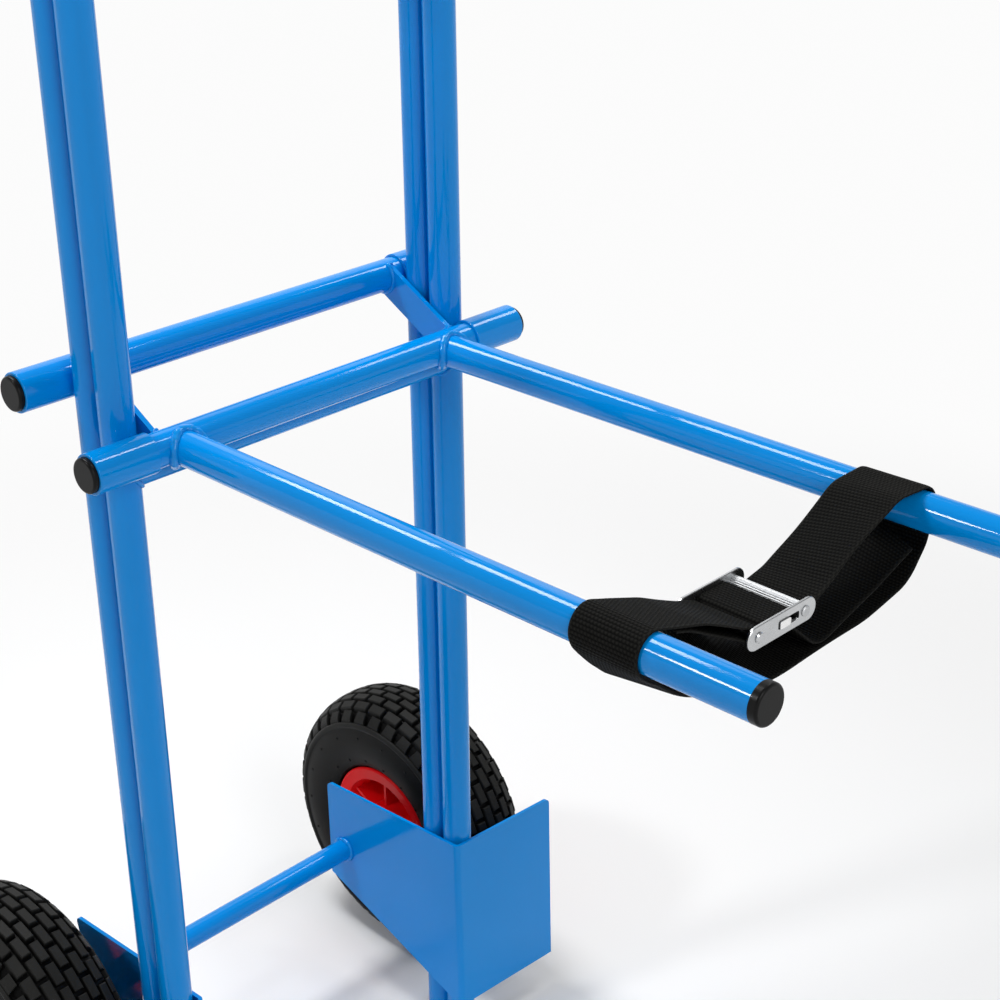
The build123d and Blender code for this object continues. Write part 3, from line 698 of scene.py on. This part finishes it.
def even_steps(route, spacing):
    """The same line with points at equal spacing."""
    steps = [route[0]]
    left_over = spacing
    for a, b in zip(route, route[1:]):
        length = (b - a).length
        place = left_over
        while place <= length:
            steps.append(a.lerp(b, place / length))
            place += spacing
        left_over = place - length
    return steps


upper_bends = [(anchor + Vector((-12.0, 8.8)), 15.0), (anchor + Vector((-46.0, 25.0)), 80.0)]
arm_heading = touch_heading(upper_bends[1][0], arm_right, wrap, -1)
arm_touch = arm_right + heading(arm_heading - 90) * wrap
lap_end = arm_touch - heading(arm_heading) * lap_run - heading(arm_heading - 90) * lap_drop
seam_end = lap_end - heading(arm_heading) * seam_run
lap_side = touch_heading(seam_end, anchor, anchor_wrap, -1) - 90
start_side = touch_heading(upper_bends[0][0], anchor, anchor_wrap, 1) + 90
leave_side = 270 - leave_slope
leave_touch = arm_right + heading(leave_side) * wrap
leave_z = leave_touch.y - (leave_x - leave_touch.x) * math.tan(math.radians(leave_slope))
rise_side = rise_slope - 90
rise_touch = arm_left + heading(rise_side) * wrap
entry_side = 270 + entry_slope
entry_touch = knurl + heading(entry_side) * knurl_wrap
climb_side = 270 - climb_slope
climb_touch = knurl + heading(climb_side) * knurl_wrap
climb_x = climb_touch.x - (over_level - climb_touch.y) / math.tan(math.radians(climb_slope))
sewn_end = [
    (lap_end, 0.0),
    (seam_end, 30.0),
    (tangent_corner(anchor, anchor_wrap, lap_side, 0), snug * anchor_wrap),
    (tangent_corner(anchor, anchor_wrap, 0, start_side), snug * anchor_wrap),
]
round_right_arm = [
    (tangent_corner(arm_right, wrap, arm_heading - 90, 180), snug * wrap),
    (tangent_corner(arm_right, wrap, 180, leave_side), snug * wrap),
]
slack_run = [
    (Vector((leave_x, leave_z)), 60.0),
    (arm_right + Vector((112.0, -62.2)), 120.0),
    (arm_left + Vector((-52.0, -57.2)), 120.0),
    (arm_left + Vector((-9.0, -46.7)), 30.0),
]
round_left_arm = [
    (rise_touch - heading(rise_slope) * rise_run, 20.0),
    (tangent_corner(arm_left, wrap, rise_side, 90), snug * wrap),
    (arm_left + Vector((-level_run, wrap)), 25.0),
]
through_buckle = [
    (entry_touch + heading(entry_slope) * entry_run, 40.0),
    (tangent_corner(knurl, knurl_wrap, entry_side, climb_side), snug * knurl_wrap),
    (Vector((climb_x, over_level)), 3.0),
    (Vector((loop_x, over_level)), 3.75),
    (Vector((loop_x, under_level)), 3.75),
]
loose_tail = [
    (Vector((tail_x, under_level)), 6.0),
    (buckle + Vector((38.0, -31.0)), 18.0),
    (buckle + Vector((62.0, -23.5)), 60.0),
    (buckle + Vector((94.0, -14.0)), 60.0),
    (arm_left + Vector((-5.0, -24.0)), 0.0),
]
strap_corners = sewn_end + upper_bends + round_right_arm + slack_run
strap_corners += round_left_arm + through_buckle + loose_tail

# How the webbing lies: distance along it, its shift to the rear, and the lift of its rear and front edges.
strap_lie = [
    (0, 0.0, 0.0, 0.0),
    (86, 0.0, 0.0, 0.0),
    (130, 0.0, -1.0, 1.2),
    (178, 0.0, 0.0, 0.5),
    (218, 0.0, 0.0, 0.0),
    (232, 0.0, -3.0, -0.5),
    (246, 0.0, -5.0, 1.0),
    (267, 0.0, -4.0, 1.0),
    (292, 0.0, 11.0, -1.0),
    (318, 0.0, 24.0, -4.0),
    (337, 0.0, 20.0, -4.0),
    (354, -0.5, 11.0, -2.0),
    (377, -1.0, 3.0, -0.5),
    (412, -2.0, 0.0, 0.0),
    (452, -4.0, 0.0, 0.0),
    (492, -5.5, 0.0, 0.0),
    (532, -6.0, 0.0, 0.0),
    (567, -6.0, 0.0, 2.0),
    (599, -5.0, -1.5, 4.0),
    (626, -2.5, -4.5, 5.5),
    (653, -0.5, -3.5, 4.0),
    (680, 0.0, -0.5, 1.0),
    (690, 0.0, 0.0, 0.0),
    (759, 0.0, 0.0, 0.0),
    (792, -2.5, 0.0, 0.0),
    (840, -3.0, 0.0, 0.0),
    (893, -4.0, 6.0, -1.0),
]


def lie_at(distance):
    """The lie at a distance along the strap, on a smooth curve through the values above."""
    k = 1
    while k < len(strap_lie) - 2 and strap_lie[k + 1][0] < distance:
        k += 1
    if distance < strap_lie[1][0]:
        k = 0
    rows = [strap_lie[min(max(k + j, 0), len(strap_lie) - 1)] for j in (-1, 0, 1, 2)]
    (d0, *a), (d1, *b), (d2, *c), (d3, *d) = rows
    t = (distance - d1) / (d2 - d1)
    values = []
    for p0, p1, p2, p3 in zip(a, b, c, d):
        m1 = (p2 - p0) / (d2 - d0) * (d2 - d1)
        m2 = (p3 - p1) / (d3 - d1) * (d2 - d1)
        rise = (p2 - p1) * (3 - 2 * t) * t * t
        values.append(p1 + rise + m1 * t * (1 - t) ** 2 - m2 * t * t * (1 - t))
    return values


def make_strap():
    """The woven band along the route, with its ribs, its rounded edges and a slanted end to its tail."""
    spacing = rib_pitch / rib_steps
    line = even_steps(rounded_route(strap_corners), spacing)
    lanes = [(-lane, share) for lane, share in half_lanes[:0:-1]] + half_lanes
    points, faces, rib_crest_shades, warps = [], [], [], []
    count = len(line)
    length = (count - 1) * spacing
    for i, here in enumerate(line):
        ahead = (line[min(i + 1, count - 1)] - line[max(i - 1, 0)]).normalized()
        up = Vector((-ahead.y, ahead.x))
        shift, rear, front = lie_at(i * spacing)
        swell = abs(math.sin(math.pi * i / rib_steps))
        slant = tail_slant * max(0.0, 1 - (length - i * spacing) / tail_slant_run)
        for face in (1, -1):
            for lane, share in lanes:
                ribbed = abs(lane) < selvedge
                rib = rib_height * (swell - rib_mean) if ribbed else 0.0
                thick = web_thickness / 2 * share
                spot = here + up * (face * (thick + rib)) + ahead * (slant * (1 + lane))
                lift = rear + (front - rear) * (1 - lane) / 2
                place = Vector((spot.x, strap_y + shift + lane * web_width / 2, spot.y + lift))
                points.append(place * 0.001 + Vector((0, upright_y, strap_z * 0.001)))
                # Painted shade along the ribs: 0 down between them, 1 on their crests and on the plain
                # selvedge.
                rib_crest_shades.append(swell if ribbed else 1.0)
                warps.append(2 * math.pi * (lane * web_width / 2 / warp_pitch + 0.5 * (i // rib_steps)))
    wide = len(lanes)
    ring = 2 * wide
    loop = list(range(wide)) + [wide + k for k in reversed(range(wide))]
    for i in range(count - 1):
        for k in range(ring):
            a, b = loop[k], loop[(k + 1) % ring]
            faces.append((i * ring + a, i * ring + b, (i + 1) * ring + b, (i + 1) * ring + a))
    for end, order in ((0, loop[::-1]), (count - 1, loop)):
        faces.append(tuple(end * ring + k for k in order))
    strap = add_piece("webbing_strap", points, faces, web, "fork_carriage")
    add_attribute(strap, "rib_crest_shade", rib_crest_shades)
    add_attribute(strap, "warp", warps)
    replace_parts(strap, "strap")


make_strap()

# Floor and light: a white floor that runs up into a round white wall far off, an even dim room and six
# soft boxes, three of them overhead and a broad one behind. Past the shadow the floor shows plain white.
floor_radius = 8.0
curve_radius = 1.5  # of the turn from the floor up into the wall
wall_top = 4.0
shadow_reach = 0.7
plain_from = 1.8
spokes = 64
profile = [(0.0, 0.0), (1.0, 0.0), (2.0, 0.0), (floor_radius, 0.0)]
for step in range(1, 9):
    angle = step * math.pi / 16
    out = floor_radius + curve_radius * math.sin(angle)
    profile.append((out, curve_radius - curve_radius * math.cos(angle)))
profile.append((floor_radius + curve_radius, wall_top))
floor_points = []
for spoke in range(spokes):
    angle = 2 * math.pi * spoke / spokes
    floor_points += [(r * math.cos(angle), r * math.sin(angle), z) for r, z in profile]
floor_faces = []
for spoke in range(spokes):
    a = spoke * len(profile)
    b = (spoke + 1) % spokes * len(profile)
    floor_faces += [(a + k, a + k + 1, b + k + 1, b + k) for k in range(1, len(profile) - 1)]
    floor_faces.append((0, a + 1, b + 1))
floor_mesh = bpy.data.meshes.new("floor")
floor_mesh.from_pydata(floor_points, [], floor_faces)
floor = bpy.data.objects.new("floor", floor_mesh)
bpy.context.scene.collection.objects.link(floor)
white = Finish("white floor")
white.set(Base_Color=(0.92, 0.92, 0.92, 1), Roughness=0.9)
seen = white.node("LightPath", output="Is Camera Ray")
seen = seen + white.node("LightPath", output="Is Glossy Ray")
seen = seen + white.node("LightPath", output="Is Transmission Ray")
spread = white.node("VectorMath", {"operation": "LENGTH"}, {0: white.place()}, output="Value")
limits = {"Value": spread, 1: shadow_reach, 2: plain_from}
far = white.node("MapRange", {"interpolation_type": "SMOOTHSTEP"}, limits)
glow = white.node("Emission", None, {"Strength": 0.97})
plain = Value(white, white.shader.outputs[0])
ground = white.node("MixShader", None, {0: seen * far, 1: plain, 2: glow})
white.tree.links.new(ground.socket, white.tree.nodes["Material Output"].inputs["Surface"])
floor_mesh.materials.append(white.material)

world = bpy.data.worlds.new("dim room")
bpy.context.scene.world = world
world.use_nodes = True
world.node_tree.nodes["Background"].inputs["Color"].default_value = (1, 1, 1, 1)
world.node_tree.nodes["Background"].inputs["Strength"].default_value = 0.30


def soft_box(name, place, aim, size, energy):
    """An oblong lamp that faces a point. Its size is across and along, and its energy is in watts."""
    data = bpy.data.lights.new(name, "AREA")
    data.energy = energy
    data.shape = "RECTANGLE"
    data.size, data.size_y = size
    lamp = bpy.data.objects.new(name, data)
    lamp.location = place
    lamp.rotation_euler = (Vector(place) - Vector(aim)).to_track_quat("Z", "Y").to_euler()
    bpy.context.scene.collection.objects.link(lamp)


soft_box("overhead left", (1.35, 0.03, 2.1), (0, -0.1, 0.6), (0.39, 0.39), 6)
soft_box("overhead rear", (0.06, 1.02, 2.1), (0.06, 0.7, 0.6), (0.46, 0.84), 22)
soft_box("backdrop", (1.5, 1.7, 2.1), (0, 0, 0.6), (1.5, 1.2), 7)
soft_box("overhead near", (0.66, -0.25, 2.1), (-0.17, 0.1, 0.68), (0.18, 0.18), 2)
soft_box("front fill", (-0.6, -2.3, 2.2), (0, 0, 0.8), (1.2, 1.2), 28)
soft_box("right side", (-1.5, 0.8, 1.97), (-0.1, -0.2, 0.6), (0.28, 0.28), 11)

# Camera: the photograph's own viewpoint, worked out from the straight tubes.
camera_data = bpy.data.cameras.new("camera")
camera_data.sensor_fit = "HORIZONTAL"
camera_data.sensor_width = 36.0
camera_data.lens = 68.575
camera_data.clip_start = 0.05
camera_data.clip_end = 60.0
camera = bpy.data.objects.new("camera", camera_data)
camera_place = Vector((-0.81353, -0.884138, 1.19758))
azimuth = math.radians(-45.28)
elevation = math.radians(25.42)
roll = math.radians(-0.56)
back = Vector(
    (math.sin(azimuth) * math.cos(elevation), -math.cos(azimuth) * math.cos(elevation), math.sin(elevation))
)
level = Vector((math.cos(azimuth), math.sin(azimuth), 0))
rise = back.cross(level)
right = level * math.cos(roll) + rise * math.sin(roll)
above = rise * math.cos(roll) - level * math.sin(roll)
turn = Matrix((right, above, back)).transposed()
camera.matrix_world = Matrix.Translation(camera_place) @ turn.to_4x4()
bpy.context.scene.collection.objects.link(camera)
bpy.context.scene.camera = camera
bpy.context.scene.view_settings.view_transform = "Standard"

bpy.context.view_layer.update()
